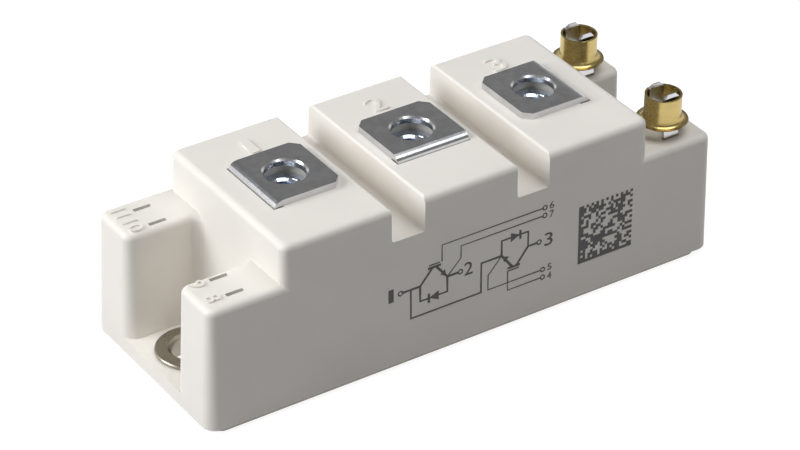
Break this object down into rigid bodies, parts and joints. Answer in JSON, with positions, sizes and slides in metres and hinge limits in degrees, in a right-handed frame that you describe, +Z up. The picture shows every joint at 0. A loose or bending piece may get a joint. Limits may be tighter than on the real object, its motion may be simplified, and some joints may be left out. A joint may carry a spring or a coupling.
{
  "type": "igbt module",
  "caption": "Half-bridge power transistor module: moulded box with cross grooves and end towers, three folded screw terminals, control tabs in brass shorting rings, metal baseplate.",
  "frame": {"origin": "middle of the baseplate's underside", "axes": "+X along the module from screw terminal 1 to screw terminal 3, +Y across it to the back, +Z up out of the mounting surface"},
  "size_m": [0.094, 0.034, 0.0301],
  "materials": {
    "moulding": "fine moulded satin",
    "nickel_plate": "satin nickel plating",
    "tinned_copper": "bright tin plating",
    "zinc_steel": "blue-passivated zinc",
    "brass": "rolled satin",
    "adhesive": "matte",
    "solder": "satin",
    "copper": "satin copper",
    "ceramic": "matte ceramic",
    "silicon": "metallised silicon",
    "aluminium_wire": "satin",
    "silicone_gel": "soft clear gel"
  },
  "bodies": {
    "root": {"baseplate": "nickel_plate", "housing": "moulding", "adhesive": "adhesive", "mounting_rivet_left": "nickel_plate", "mounting_rivet_right": "nickel_plate", "terminal_1": "tinned_copper", "terminal_2": "tinned_copper", "terminal_3": "tinned_copper", "nut_1": "zinc_steel", "nut_2": "zinc_steel", "nut_3": "zinc_steel", "control_tab_4": "tinned_copper", "control_tab_5": "tinned_copper", "control_tab_6": "tinned_copper", "control_tab_7": "tinned_copper", "shorting_ring_front": "brass", "shorting_ring_rear": "brass", "base_solder_left": "solder", "base_solder_right": "solder", "lower_copper_left": "copper", "lower_copper_right": "copper", "ceramic_left": "ceramic", "ceramic_right": "ceramic", "tracks_left": "copper", "tracks_right": "copper", "chip_solder": "solder", "igbt_left_1": "silicon", "igbt_left_2": "silicon", "igbt_right_1": "silicon", "igbt_right_2": "silicon", "diode_left_1": "silicon", "diode_left_2": "silicon", "diode_right_1": "silicon", "diode_right_2": "silicon", "phase_bridge": "copper", "bond_wires_left": "aluminium_wire", "bond_wires_right": "aluminium_wire", "gel": "silicone_gel"}
  },
  "joints": []
}
